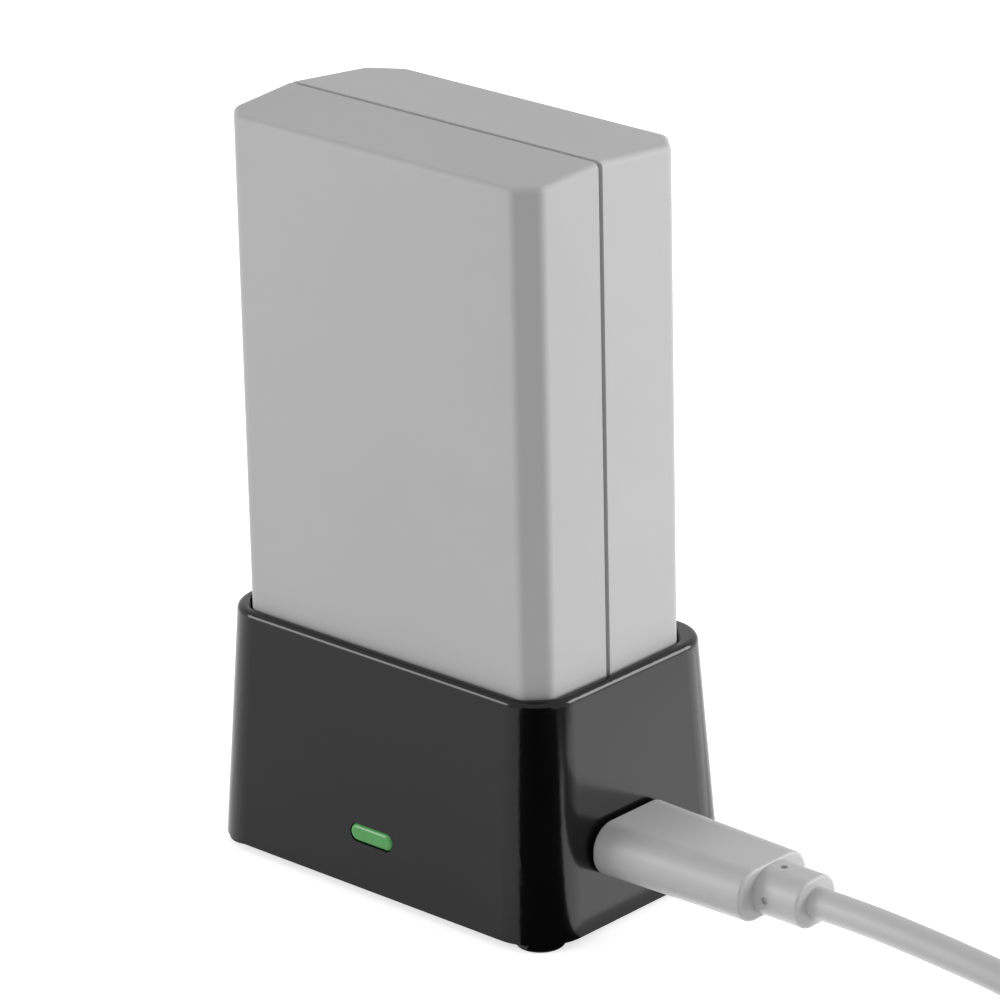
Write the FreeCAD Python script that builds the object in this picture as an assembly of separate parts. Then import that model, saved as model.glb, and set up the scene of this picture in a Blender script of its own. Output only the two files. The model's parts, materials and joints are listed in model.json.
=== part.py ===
import FreeCAD, Part
import math
import os

# Desk charger for a flash battery, with one battery in its bay and a USB-C cable in its right end.
# Millimetres. Origin: centre of the underside of the feet. +X along the wide faces to the socket end,
# +Y to the back, +Z up. The status light is on the front, at -Y.

V = FreeCAD.Vector

# Closeness that counts as equal, and how far a cut runs past a face
NEAR = 1e-4
CUT_PAST = 1.0

# Battery: two round cells, and the shells drawn round them
CELL_DIAMETER = 18.5
CELL_LENGTH = 65.0
CELL_GAP = 0.7
CELL_SIDE_ROOM = 1.3
CELL_FACE_ROOM = 1.75
CELL_TOP_ROOM = 0.4
CELL_BEAD_ROUND = 0.8
SHELL_WALL = 1.4
PARTING_Y = -1.8
ROOF_DROP_FRONT = 0.65
ROOF_DROP_REAR = 1.4
SIDE_DRAFT = 0.2
FRONT_CHAMFER = 2.2
REAR_CHAMFER = 3.2
CHAMFER_ROUND = 1.4
INNER_CHAMFER_ROUND = 0.7
SHELL_EDGE_ROUND = 0.7
GROOVE_WIDTH = 0.6
GROOVE_DEPTH = 0.6
RIB_THICKNESS = 1.2
RIB_CLEARANCE = 0.15
RIB_INSET = 16.0

# Battery: strips, protection board and terminals
STRIP_THICKNESS = 0.2
STRIP_WIDTH = 6.0
STRIP_LEG_WIDTH = 3.0
STRIP_LEG_OFFSET = 2.6
STRIP_GAP = 0.15
STRIP_LAP = 5.0
GUARD_THICKNESS = 0.8
GUARD_WIDTH = 18.0
GUARD_HEIGHT = 40.0
GUARD_GAP = 0.5
CHIP_WIDTH = 5.0
CHIP_HEIGHT = 4.0
CHIP_THICKNESS = 0.9
TERMINAL_DEPTH = 3.05
TERMINAL_HEIGHT = 6.0
TERMINAL_SIDE = 1.6
TERMINAL_CLEARANCE = 0.1
CLIP_THICKNESS = 0.3
CLIP_HEIGHT = 3.3
CLIP_TAIL_WIDTH = 1.0

# Blades that stand up from the bay floor into the battery's terminals
BLADE_PITCH = 2.6
BLADE_THICKNESS = 0.6
BLADE_WIDTH = 2.0
BLADE_RISE = 4.5
BLADE_TIP = 0.2
BLADE_TAIL = 0.9
BLOCK_SIDE = 1.9
BLOCK_FACE = 0.6
BLOCK_FLANGE = 0.7
BLOCK_CLEARANCE = 0.1

# Dock housing
BAY_CLEARANCE = 0.2
RIM_WALL = 1.2
BAY_DEPTH = 14.4
FLOOR_THICKNESS = 1.25
END_FLARE = 1.45
FACE_FLARE = 1.85
TOP_CORNER = 5.0
BASE_CORNER = 5.8
RIM_ROUND = 0.7
BAY_LEAD_IN = 0.3
DOCK_WALL = 1.6
FOOT_HEIGHT = 0.9
FOOT_RADIUS = 2.6
FOOT_INSET = 0.2
FOOT_ROUND = 0.2

# Base cover, its screws and the bosses that take them
COVER_THICKNESS = 1.5
COVER_CLEARANCE = 0.15
PAD_RADIUS = 3.0
PAD_HEIGHT = 1.2
POST_RADIUS = 1.5
POST_X = 9.0
BOSS_X = 14.5
BOSS_EDGE_ROOM = 1.1
BOSS_RADIUS = 2.1
BOSS_SHOULDER = 0.9
SCREW_RADIUS = 1.0
SCREW_LENGTH = 6.0
SCREW_FIT = 0.02
SCREW_HEAD_RADIUS = 1.8
SCREW_HEAD_HEIGHT = 1.1
SCREW_HEAD_ROOM = 0.2
SCREW_HEAD_RECESS = 1.25
SCREW_HEAD_ROUND = 0.25
SCREW_CROSS_WIDTH = 0.5
SCREW_CROSS_DEPTH = 0.5
SCREW_CROSS_REACH = 1.1

# Circuit board and what stands on it
BOARD_THICKNESS = 1.2
BOARD_CLEARANCE = 1.1
BOARD_HOLE_CLEARANCE = 0.2
BOARD_CORNER_CLEARANCE = 0.4
UNDER_BOARD_ROOM = 4.3
INDUCTOR_SIZE = 6.0
INDUCTOR_HEIGHT = 2.8
INDUCTOR_CORNER = 1.2
INDUCTOR_PLACE = (-10.0, -3.0)
CONTROLLER_SIZE = 4.0
CONTROLLER_HEIGHT = 0.9
CONTROLLER_PLACE = (-2.0, -2.0)
CAPACITOR_LENGTH = 3.2
CAPACITOR_WIDTH = 1.6
CAPACITOR_PITCH = 2.8
CAPACITOR_COUNT = 3
CAPACITOR_PLACE = (6.0, -6.0)

# USB-C socket
SOCKET_WIDTH = 8.94
SOCKET_HEIGHT = 3.2
SOCKET_LENGTH = 7.3
SOCKET_WALL = 0.3
SOCKET_Y = -1.8
SOCKET_SETBACK = 0.45
SOCKET_CLEARANCE = 0.15
SOCKET_ROOM = 0.3
SOCKET_LEG_LENGTH = 1.2
SOCKET_LEG_PLACE = 1.7
SOCKET_LEG_TAIL = 0.3
SOCKET_BACK = 1.3
TONGUE_WIDTH = 6.7
TONGUE_THICKNESS = 0.7
TONGUE_LENGTH = 4.9
TONGUE_CORNER = 0.23

# Status light
LIGHT_WIDTH = 6.1
LIGHT_HEIGHT = 2.05
LIGHT_DROP = 0.95
LIGHT_PROUD = 0.15
LIGHT_EDGE_ROUND = 0.5
LIGHT_FIT = 0.05
LIGHT_FLANGE = 0.9
LIGHT_WALL_GAP = 0.15
LED_GAP = 0.1
LED_WIDTH = 3.0
LED_DEPTH = 1.0
LED_HEIGHT = 0.8

# USB-C plug on the cable
PLUG_FIT = 0.08
PLUG_SHELL_LENGTH = 6.5
PLUG_SHELL_WALL = 0.25
PLUG_SLOT_CLEARANCE = 0.1
PLUG_SLOT_LENGTH = 5.0
PLUG_INSERT_SETBACK = 0.3
PLUG_GAP = 0.15
PLUG_BODY_LENGTH = 19.2
PLUG_BODY_WIDTH = 11.9
PLUG_BODY_HEIGHT = 5.9
PLUG_SIDE_TAPER = 0.6
PLUG_FACE_TAPER = 0.1
PLUG_BODY_CORNER = 2.8
PLUG_REAR_ROUND = 0.35
PLUG_FRONT_ROUND = 0.3
COLLAR_LENGTH = 5.7
COLLAR_WIDTH = 6.3
COLLAR_HEIGHT = 5.3
COLLAR_CORNER = 2.5
COLLAR_ROUND = 0.35
COLLAR_PIT_RADIUS = 0.4
COLLAR_PIT_DEPTH = 0.3
COLLAR_PIT_PLACE = 1.5

# Cord, its coil and the tie round it
CORD_DIAMETER = 3.3
ARC_SHARE = 0.45
COIL_INNER_TURN = 13.2
COIL_TURNS = 3.0
COIL_LAYERS = 2
COIL_SLACK = 0.3
COIL_X = 112.0
COIL_Y = 8.67
TIE_THICKNESS = 0.6
TIE_FLOOR_GAP = 0.1
TIE_WIDTH = 8.0

# USB-A plug on the far end of the cable
USB_A_BODY_WIDTH = 15.4
USB_A_BODY_HEIGHT = 8.0
USB_A_BODY_LENGTH = 20.0
USB_A_BODY_CORNER = 2.4
USB_A_SHELL_WIDTH = 12.0
USB_A_SHELL_HEIGHT = 4.5
USB_A_SHELL_WALL = 0.3
USB_A_SHELL_LENGTH = 12.0
USB_A_SHELL_CORNER = 0.5
USB_A_INNER_CORNER = 0.35
USB_A_WINDOW_SIZE = 2.2
USB_A_WINDOW_SPACING = 5.6
USB_A_WINDOW_PLACE = 5.2
USB_A_TONGUE_HEIGHT = 1.9
USB_A_TONGUE_SETBACK = 0.5
USB_A_CONTACT_WIDTH = 1.0
USB_A_CONTACT_THICKNESS = 0.2
USB_A_CONTACT_LENGTH = 7.5
USB_A_CONTACT_PITCH = 2.3
USB_A_CONTACT_COUNT = 4
USB_A_CONTACT_SETBACK = 1.0

# Battery sizes worked out from the cells
CELL_RADIUS = CELL_DIAMETER / 2
CELL_X = (CELL_DIAMETER + CELL_GAP) / 2
BATTERY_WIDTH = 2 * CELL_DIAMETER + CELL_GAP + 2 * (CELL_SIDE_ROOM + SHELL_WALL)
BATTERY_DEPTH = CELL_DIAMETER + 2 * (CELL_FACE_ROOM + SHELL_WALL)
BATTERY_BACK = BATTERY_DEPTH / 2
CELL_RIM_DROP = ROOF_DROP_REAR * (CELL_RADIUS - PARTING_Y) / (BATTERY_BACK - PARTING_Y)
BATTERY_HEIGHT = 2 * SHELL_WALL + STRIP_THICKNESS + CELL_LENGTH + CELL_RIM_DROP + CELL_TOP_ROOM

# Heights in the dock, from the floor up
COVER_TOP = FOOT_HEIGHT + COVER_THICKNESS
PAD_TOP = COVER_TOP + PAD_HEIGHT
BOARD_BOTTOM = COVER_TOP + UNDER_BOARD_ROOM
BOARD_TOP = BOARD_BOTTOM + BOARD_THICKNESS
FLOOR_UNDERSIDE = BOARD_TOP + SOCKET_HEIGHT + SOCKET_ROOM
BAY_FLOOR = FLOOR_UNDERSIDE + FLOOR_THICKNESS
DOCK_HEIGHT = BAY_FLOOR + BAY_DEPTH
BATTERY_TOP = BAY_FLOOR + BATTERY_HEIGHT
CELL_BOTTOM = BAY_FLOOR + SHELL_WALL + STRIP_THICKNESS
CELL_TOP = CELL_BOTTOM + CELL_LENGTH
SOCKET_Z = BOARD_TOP + SOCKET_HEIGHT / 2
LIGHT_Z = BOARD_TOP - LIGHT_DROP
SCREW_SEAT = FOOT_HEIGHT + SCREW_HEAD_RECESS

# Plan sizes of the dock
TOP_HALF_WIDTH = BATTERY_WIDTH / 2 + BAY_CLEARANCE + RIM_WALL
TOP_HALF_DEPTH = BATTERY_DEPTH / 2 + BAY_CLEARANCE + RIM_WALL
BASE_HALF_WIDTH = TOP_HALF_WIDTH + END_FLARE
BASE_HALF_DEPTH = TOP_HALF_DEPTH + FACE_FLARE


def dock_share(z):
    """How far a height lies from the skirt's lower edge, at 0, to the rim, at 1."""
    return (z - FOOT_HEIGHT) / (DOCK_HEIGHT - FOOT_HEIGHT)


def dock_half_width(z):
    return BASE_HALF_WIDTH - END_FLARE * dock_share(z)


def dock_half_depth(z):
    return BASE_HALF_DEPTH - FACE_FLARE * dock_share(z)


def dock_corner(z):
    return BASE_CORNER + (TOP_CORNER - BASE_CORNER) * dock_share(z)


# Places that follow from the plan
BOARD_HALF_WIDTH = dock_half_width(BOARD_TOP) - DOCK_WALL - BOARD_CLEARANCE
BOARD_HALF_DEPTH = dock_half_depth(BOARD_TOP) - DOCK_WALL - BOARD_CLEARANCE
FOOT_CORNER = BASE_CORNER - (BASE_CORNER - FOOT_RADIUS - FOOT_INSET) * math.sqrt(0.5)
FOOT_X = BASE_HALF_WIDTH - FOOT_CORNER
FOOT_Y = BASE_HALF_DEPTH - FOOT_CORNER
BOSS_Y = dock_half_depth(FLOOR_UNDERSIDE) - DOCK_WALL - BOSS_EDGE_ROOM - BOSS_RADIUS
TERMINAL_Y = BATTERY_BACK - SHELL_WALL - TERMINAL_DEPTH / 2
TERMINAL_HALF_WIDTH = BLADE_PITCH + TERMINAL_SIDE
BLOCK_HALF_WIDTH = BLADE_PITCH + BLOCK_SIDE
BLOCK_HALF_DEPTH = BLADE_WIDTH / 2 + BLOCK_FACE
SOCKET_MOUTH = dock_half_width(SOCKET_Z) - SOCKET_SETBACK
SOCKET_REAR = SOCKET_MOUTH - SOCKET_LENGTH
SOCKET_INNER_WIDTH = SOCKET_WIDTH - 2 * SOCKET_WALL
SOCKET_INNER_HEIGHT = SOCKET_HEIGHT - 2 * SOCKET_WALL
PLUG_SHELL_WIDTH = SOCKET_INNER_WIDTH - 2 * PLUG_FIT
PLUG_SHELL_HEIGHT = SOCKET_INNER_HEIGHT - 2 * PLUG_FIT
PLUG_FRONT = dock_half_width(SOCKET_Z - PLUG_BODY_HEIGHT / 2) + PLUG_GAP
PLUG_REAR = PLUG_FRONT + PLUG_BODY_LENGTH
CORD_EXIT = PLUG_REAR + COLLAR_LENGTH
GUARD_FRONT = CELL_RADIUS + STRIP_GAP + STRIP_THICKNESS
GUARD_BOTTOM = BAY_FLOOR + TERMINAL_HEIGHT + GUARD_GAP

# Coil of the length of cord that is put away
COIL_OUTER_TURN = COIL_INNER_TURN + COIL_TURNS * CORD_DIAMETER
COIL_BOTTOM = TIE_FLOOR_GAP + TIE_THICKNESS
COIL_TOP = COIL_BOTTOM + COIL_LAYERS * CORD_DIAMETER + 2 * COIL_SLACK
COIL_INNER_RADIUS = COIL_INNER_TURN - CORD_DIAMETER / 2 - COIL_SLACK
COIL_OUTER_RADIUS = COIL_OUTER_TURN + CORD_DIAMETER / 2 + COIL_SLACK
LOW_TURN_Z = COIL_BOTTOM + COIL_SLACK + CORD_DIAMETER / 2
USB_A_Z = COIL_TOP + USB_A_BODY_HEIGHT / 2

# Route of the cord from the plug's collar into the lowest turn of the coil
CORD_ROUTE = [
    (CORD_EXIT, SOCKET_Y, SOCKET_Z),
    (55.7, SOCKET_Y, SOCKET_Z),
    (64.7, SOCKET_Y, 9.1),
    (73.4, SOCKET_Y, 8.4),
    (79.0, SOCKET_Y, 7.45),
    (84.2, SOCKET_Y, 6.1),
    (89.3, -3.2, 4.65),
    (93.9, -5.8, 3.45),
    (97.9, -9.8, 2.75),
    (102.6, -12.5, LOW_TURN_Z),
]

# Route from the highest turn up over the coil to the collar of the USB-A plug, which lies on the turns
TAIL_ROUTE = [
    (125.1, -9.7, 5.2),
    (130.4, -4.4, 6.3),
    (133.3, 2.6, 7.8),
    (133.3, 10.1, 9.3),
    (130.4, 17.1, 10.45),
    (125.1, 22.5, 11.3),
    (118.1, 25.4, USB_A_Z),
    (110.7, 25.4, USB_A_Z),
]
USB_A_FRONT, USB_A_Y = TAIL_ROUTE[-1][0], TAIL_ROUTE[-1][1]


def box(x0, x1, y0, y1, z0, z1):
    return Part.makeBox(x1 - x0, y1 - y0, z1 - z0, V(x0, y0, z0))


def upright(x, y, radius, z0, z1):
    return Part.makeCylinder(radius, z1 - z0, V(x, y, z0))


def rounded_wire(half_width, half_depth, radius, z):
    """Rounded rectangle in a level plane, centred on the origin."""
    x, y = half_width - radius, half_depth - radius
    s = radius * math.sqrt(0.5)
    edges = []
    for cx, cy, sx, sy in ((x, -y, 1, -1), (x, y, 1, 1), (-x, y, -1, 1), (-x, -y, -1, -1)):
        first, last = (cx, cy + sy * radius), (cx + sx * radius, cy)
        if sx == sy:
            first, last = last, first
        middle = V(cx + sx * s, cy + sy * s, z)
        edges.append(Part.Arc(V(first[0], first[1], z), middle, V(last[0], last[1], z)).toShape())
    joined = []
    for i, arc in enumerate(edges):
        following = edges[(i + 1) % len(edges)]
        joined.append(arc)
        joined.append(Part.LineSegment(arc.Vertexes[-1].Point, following.Vertexes[0].Point).toShape())
    return Part.Wire(joined)


def rounded_block(half_width, half_depth, radius, z0, z1):
    return Part.Face(rounded_wire(half_width, half_depth, radius, z0)).extrude(V(0, 0, z1 - z0))


def lofted_block(low, high):
    """Solid between two rounded rectangles, each given as half width, half depth, radius and height."""
    return Part.makeLoft([rounded_wire(*low), rounded_wire(*high)], True, True)


def lay_along_x(shape, x, y, z, turn=90):
    """Turns a solid built up along Z so that it runs along X from a place; a turn of -90 runs towards -X."""
    laid = shape.copy()
    laid.rotate(V(0, 0, 0), V(0, 0, 1), 90)
    laid.rotate(V(0, 0, 0), V(0, 1, 0), turn)
    laid.translate(V(x, y, z))
    return laid


def bar_x(width, height, radius, x0, x1, y, z):
    """Bar of rounded section along X; width lies along Y and height along Z."""
    return lay_along_x(rounded_block(width / 2, height / 2, radius, 0, x1 - x0), x0, y, z)


def obround_x(width, height, x0, x1, y, z):
    ends = [V(x0, y + side * (width - height) / 2, z) for side in (-1, 1)]
    solid = box(x0, x1, ends[0].y, ends[1].y, z - height / 2, z + height / 2)
    for end in ends:
        solid = solid.fuse(Part.makeCylinder(height / 2, x1 - x0, end, V(1, 0, 0)))
    return solid.removeSplitter()


def obround_y(width, height, y0, y1, x, z):
    ends = [V(x + side * (width - height) / 2, y0, z) for side in (-1, 1)]
    solid = box(ends[0].x, ends[1].x, y0, y1, z - height / 2, z + height / 2)
    for end in ends:
        solid = solid.fuse(Part.makeCylinder(height / 2, y1 - y0, end, V(0, 1, 0)))
    return solid.removeSplitter()


def level_edges(shape, z):
    """Edges that lie wholly at one height."""
    return [e for e in shape.Edges if abs(e.BoundBox.ZMin - z) < NEAR and abs(e.BoundBox.ZMax - z) < NEAR]


def upright_edges(shape):
    return [e for e in shape.Edges if e.BoundBox.XLength < NEAR and e.BoundBox.YLength < NEAR]


def fuse_all(solid, others):
    for other in others:
        solid = solid.fuse(other)
    return solid


def cut_all(solid, others):
    for other in others:
        solid = solid.cut(other)
    return solid


def corners(x, y):
    return [(sx * x, sy * y) for sx in (-1, 1) for sy in (-1, 1)]


# Battery

def end_outline(front, inset):
    """Plan of the right side of one shell, from the parting plane round the chamfer to the wide face."""
    chamfer = FRONT_CHAMFER if front else REAR_CHAMFER
    leg = chamfer - inset * (2 - math.sqrt(2))
    half_width, face = BATTERY_WIDTH / 2 - inset, BATTERY_BACK - inset
    narrow, away = half_width - SIDE_DRAFT, -1 if front else 1
    return [(half_width, PARTING_Y), (narrow, away * (face - leg)), (narrow - leg, away * face)]


def shell_prism(front, inset, z0, z1, rounding):
    """Upright prism on the plan of one shell: a wide face, two drafted ends and two chamfered corners."""
    side = end_outline(front, inset)
    outline = side + [(-x, y) for x, y in reversed(side)]
    points = [V(x, y, z0) for x, y in outline + outline[:1]]
    prism = Part.Face(Part.makePolygon(points)).extrude(V(0, 0, z1 - z0))
    chamfered = [e for e in upright_edges(prism) if abs(e.CenterOfMass.y - PARTING_Y) > GROOVE_WIDTH]
    return prism.makeFillet(rounding, chamfered)


def shell_side(front, inset):
    """Prism along X on the side outline of one shell: level bottom, roof that falls from the groove."""
    face = (BATTERY_BACK - inset) * (-1 if front else 1)
    drop = ROOF_DROP_FRONT if front else ROOF_DROP_REAR
    bottom, ridge = BAY_FLOOR + inset, BATTERY_TOP - inset
    outline = [(PARTING_Y, bottom), (face, bottom), (face, ridge - drop), (PARTING_Y, ridge)]
    points = [V(-BATTERY_WIDTH, y, z) for y, z in outline + outline[:1]]
    return Part.Face(Part.makePolygon(points)).extrude(V(2 * BATTERY_WIDTH, 0, 0))


def shell_form(front, inset, rounding):
    prism = shell_prism(front, inset, BAY_FLOOR + inset, BATTERY_TOP + CUT_PAST, rounding)
    return prism.common(shell_side(front, inset))


def battery_plan(grow, z0, z1):
    """Upright prism on the whole battery's plan, larger all round by a clearance."""
    halves = [shell_prism(front, -grow, z0, z1, CHAMFER_ROUND + grow) for front in (True, False)]
    return halves[0].fuse(halves[1]).removeSplitter()


def parting_groove():
    """Shallow channel all round the line where the two shells meet."""
    reach = BATTERY_WIDTH
    y0, y1 = PARTING_Y - GROOVE_WIDTH / 2, PARTING_Y + GROOVE_WIDTH / 2
    land = BATTERY_WIDTH / 2 - GROOVE_DEPTH
    slab = box(-reach, reach, y0, y1, BAY_FLOOR - CUT_PAST, BATTERY_TOP + CUT_PAST)
    return slab.cut(box(-land, land, y0, y1, BAY_FLOOR + GROOVE_DEPTH, BATTERY_TOP - GROOVE_DEPTH))


def cell_solid(side):
    cell = upright(side * CELL_X, 0, CELL_RADIUS, CELL_BOTTOM, CELL_TOP)
    return cell.makeFillet(CELL_BEAD_ROUND, level_edges(cell, CELL_BOTTOM) + level_edges(cell, CELL_TOP))


def cradle_ribs(inner):
    """Two cross ribs hollowed to hold the cells, with room for the protection board behind them."""
    ribs = []
    for z in (BAY_FLOOR + RIB_INSET, BATTERY_TOP - RIB_INSET - RIB_THICKNESS):
        slab = box(-BATTERY_WIDTH, BATTERY_WIDTH, -BATTERY_DEPTH, BATTERY_DEPTH, z, z + RIB_THICKNESS)
        rib = slab.common(inner)
        for side in (-1, 1):
            rib = rib.cut(upright(side * CELL_X, 0, CELL_RADIUS + RIB_CLEARANCE, z, z + RIB_THICKNESS))
        half = GUARD_WIDTH / 2 + RIB_CLEARANCE
        ribs.append(rib.cut(box(-half, half, PARTING_Y, BATTERY_DEPTH, z, z + RIB_THICKNESS)))
    return ribs


def shell_rim(form):
    """Edges of a shell's top and bottom, without those on the parting plane."""
    rim = []
    for edge in form.Edges:
        size = edge.BoundBox
        on_parting = abs(edge.CenterOfMass.y - PARTING_Y) < GROOVE_WIDTH / 2
        if size.ZLength < BATTERY_HEIGHT / 2 and not on_parting:
            rim.append(edge)
    return rim


def battery_shell(front):
    outer = shell_form(front, 0, CHAMFER_ROUND)
    outer = outer.makeFillet(SHELL_EDGE_ROUND, shell_rim(outer))
    inner = shell_form(front, SHELL_WALL, INNER_CHAMFER_ROUND)
    shell = outer.cut(inner).cut(parting_groove())
    return fuse_all(shell, cradle_ribs(inner))


def terminal_window():
    half = TERMINAL_HALF_WIDTH
    front, back = TERMINAL_Y - TERMINAL_DEPTH / 2, TERMINAL_Y + TERMINAL_DEPTH / 2
    return box(-half, half, front, back, BAY_FLOOR, BAY_FLOOR + SHELL_WALL)


def blade_places():
    return [-BLADE_PITCH, 0.0, BLADE_PITCH]


def terminal_block():
    half = TERMINAL_HALF_WIDTH
    front, back = TERMINAL_Y - TERMINAL_DEPTH / 2, TERMINAL_Y + TERMINAL_DEPTH / 2
    block = box(-half, half, front, back, BAY_FLOOR, BAY_FLOOR + TERMINAL_HEIGHT)
    slot_half = BLADE_THICKNESS / 2 + CLIP_THICKNESS + TERMINAL_CLEARANCE
    slot_reach = BLADE_WIDTH / 2 + TERMINAL_CLEARANCE
    slots = []
    for x in blade_places():
        y0, y1 = TERMINAL_Y - slot_reach, TERMINAL_Y + slot_reach
        slots.append(box(x - slot_half, x + slot_half, y0, y1, BAY_FLOOR, BAY_FLOOR + TERMINAL_HEIGHT))
    return cut_all(block, slots)


def terminal_clip(x):
    """Folded clip that grips one blade, with a tail up to the protection board."""
    leaf_top = BAY_FLOOR + BLADE_RISE + CLIP_THICKNESS
    y0, y1 = TERMINAL_Y - BLADE_WIDTH / 2, TERMINAL_Y + BLADE_WIDTH / 2
    outer = BLADE_THICKNESS / 2 + CLIP_THICKNESS
    clip = box(x - outer, x + outer, y0, y1, leaf_top - CLIP_HEIGHT, leaf_top)
    inner = BLADE_THICKNESS / 2
    clip = clip.cut(box(x - inner, x + inner, y0, y1, leaf_top - CLIP_HEIGHT, leaf_top - CLIP_THICKNESS))
    tail_half = CLIP_TAIL_WIDTH / 2
    tail_front = GUARD_FRONT - STRIP_THICKNESS
    tail = box(x - tail_half, x + tail_half, tail_front, GUARD_FRONT, leaf_top, GUARD_BOTTOM + STRIP_LAP)
    return clip.fuse(tail)


def series_strip():
    reach, half = CELL_X + STRIP_WIDTH / 2, STRIP_WIDTH / 2
    return box(-reach, reach, -half, half, CELL_TOP, CELL_TOP + STRIP_THICKNESS)


def bottom_strip(side):
    """Strip under one cell, led back along the floor and turned up against the protection board."""
    z0, z1 = CELL_BOTTOM - STRIP_THICKNESS, CELL_BOTTOM
    half, leg_half = STRIP_WIDTH / 2, STRIP_LEG_WIDTH / 2
    leg_x = CELL_X - STRIP_LEG_OFFSET
    tab_front = GUARD_FRONT - STRIP_THICKNESS
    pad = box(CELL_X - half, CELL_X + half, -half, half, z0, z1)
    leg = box(leg_x - leg_half, leg_x + leg_half, -half, GUARD_FRONT, z0, z1)
    tab = box(leg_x - leg_half, leg_x + leg_half, tab_front, GUARD_FRONT, z0, GUARD_BOTTOM + STRIP_LAP)
    strip = pad.fuse(leg).fuse(tab).removeSplitter()
    return strip if side > 0 else strip.mirror(V(0, 0, 0), V(1, 0, 0))


def protection_board():
    half, back = GUARD_WIDTH / 2, GUARD_FRONT + GUARD_THICKNESS
    return box(-half, half, GUARD_FRONT, back, GUARD_BOTTOM, GUARD_BOTTOM + GUARD_HEIGHT)


def protection_chip():
    half, z = CHIP_WIDTH / 2, GUARD_BOTTOM + GUARD_HEIGHT / 2
    return box(-half, half, GUARD_FRONT - CHIP_THICKNESS, GUARD_FRONT, z, z + CHIP_HEIGHT)


# Dock

def dock_block(inset, z0, z1):
    """Solid of the tapered dock between two heights, drawn in from its outside by an inset."""
    ends = []
    for z in (z0, z1):
        ends.append((dock_half_width(z) - inset, dock_half_depth(z) - inset, dock_corner(z) - inset, z))
    return lofted_block(*ends)


def socket_opening():
    width, height = SOCKET_WIDTH + 2 * SOCKET_CLEARANCE, SOCKET_HEIGHT + 2 * SOCKET_CLEARANCE
    return obround_x(width, height, SOCKET_REAR, BASE_HALF_WIDTH, SOCKET_Y, SOCKET_Z)


def light_opening():
    return obround_y(LIGHT_WIDTH, LIGHT_HEIGHT, -BASE_HALF_DEPTH, -BOARD_HALF_DEPTH, 0, LIGHT_Z)


def contact_window():
    half_x, half_y = BLOCK_HALF_WIDTH + BLOCK_CLEARANCE, BLOCK_HALF_DEPTH + BLOCK_CLEARANCE
    return box(-half_x, half_x, TERMINAL_Y - half_y, TERMINAL_Y + half_y, FLOOR_UNDERSIDE, BAY_FLOOR)


def corner_posts(outer):
    """Posts in the skirt's corners, whose lower ends are the feet."""
    posts = []
    for x, y in corners(FOOT_X, FOOT_Y):
        foot = upright(x, y, FOOT_RADIUS, 0, 2 * FOOT_HEIGHT)
        foot = foot.makeFillet(FOOT_ROUND, level_edges(foot, 0))
        posts.append(foot.fuse(upright(x, y, FOOT_RADIUS, FOOT_HEIGHT, FLOOR_UNDERSIDE).common(outer)))
    return posts


def screw_bosses():
    bosses = []
    for x, y in corners(BOSS_X, BOSS_Y):
        shoulder = upright(x, y, BOSS_RADIUS + BOSS_SHOULDER, BOARD_TOP, FLOOR_UNDERSIDE)
        boss = shoulder.fuse(upright(x, y, BOSS_RADIUS, PAD_TOP, FLOOR_UNDERSIDE))
        bosses.append(boss.cut(upright(x, y, SCREW_RADIUS + SCREW_FIT, PAD_TOP, SCREW_SEAT + SCREW_LENGTH)))
    return bosses


def housing():
    outer = dock_block(0, FOOT_HEIGHT, DOCK_HEIGHT)
    shell = outer.makeFillet(RIM_ROUND, level_edges(outer, DOCK_HEIGHT))
    shell = shell.cut(battery_plan(BAY_CLEARANCE, BAY_FLOOR, DOCK_HEIGHT + CUT_PAST))
    mouth = [e for e in level_edges(shell, DOCK_HEIGHT) if inside_rim(e)]
    shell = shell.makeFillet(BAY_LEAD_IN, mouth)
    shell = shell.cut(dock_block(DOCK_WALL, FOOT_HEIGHT, FLOOR_UNDERSIDE))
    shell = fuse_all(shell, corner_posts(outer) + screw_bosses())
    return cut_all(shell, [contact_window(), socket_opening(), light_opening()])


def inside_rim(edge):
    """True for an edge of the bay's mouth, false for an edge of the rim's outside."""
    reach = max(abs(edge.BoundBox.XMin), abs(edge.BoundBox.XMax)) / (TOP_HALF_WIDTH - RIM_WALL)
    depth = max(abs(edge.BoundBox.YMin), abs(edge.BoundBox.YMax)) / (TOP_HALF_DEPTH - RIM_WALL)
    return max(reach, depth) < 1 + NEAR


def base_cover():
    half_width = dock_half_width(COVER_TOP) - DOCK_WALL - COVER_CLEARANCE
    half_depth = dock_half_depth(COVER_TOP) - DOCK_WALL - COVER_CLEARANCE
    radius = dock_corner(COVER_TOP) - DOCK_WALL - COVER_CLEARANCE
    cover = rounded_block(half_width, half_depth, radius, FOOT_HEIGHT, COVER_TOP)
    pads = [upright(x, y, PAD_RADIUS, COVER_TOP, PAD_TOP) for x, y in corners(BOSS_X, BOSS_Y)]
    posts = [upright(x, y, POST_RADIUS, COVER_TOP, BOARD_BOTTOM) for x, y in corners(POST_X, BOSS_Y)]
    cover = fuse_all(cover, pads + posts)
    holes = []
    for x, y in corners(BOSS_X, BOSS_Y):
        holes.append(upright(x, y, SCREW_HEAD_RADIUS + SCREW_HEAD_ROOM, FOOT_HEIGHT, SCREW_SEAT))
        holes.append(upright(x, y, SCREW_RADIUS + SCREW_HEAD_ROOM, SCREW_SEAT, PAD_TOP))
    reliefs = [
        upright(x, y, FOOT_RADIUS + COVER_CLEARANCE, FOOT_HEIGHT, PAD_TOP) for x, y in corners(FOOT_X, FOOT_Y)
    ]
    return cut_all(cover, holes + reliefs)


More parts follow.
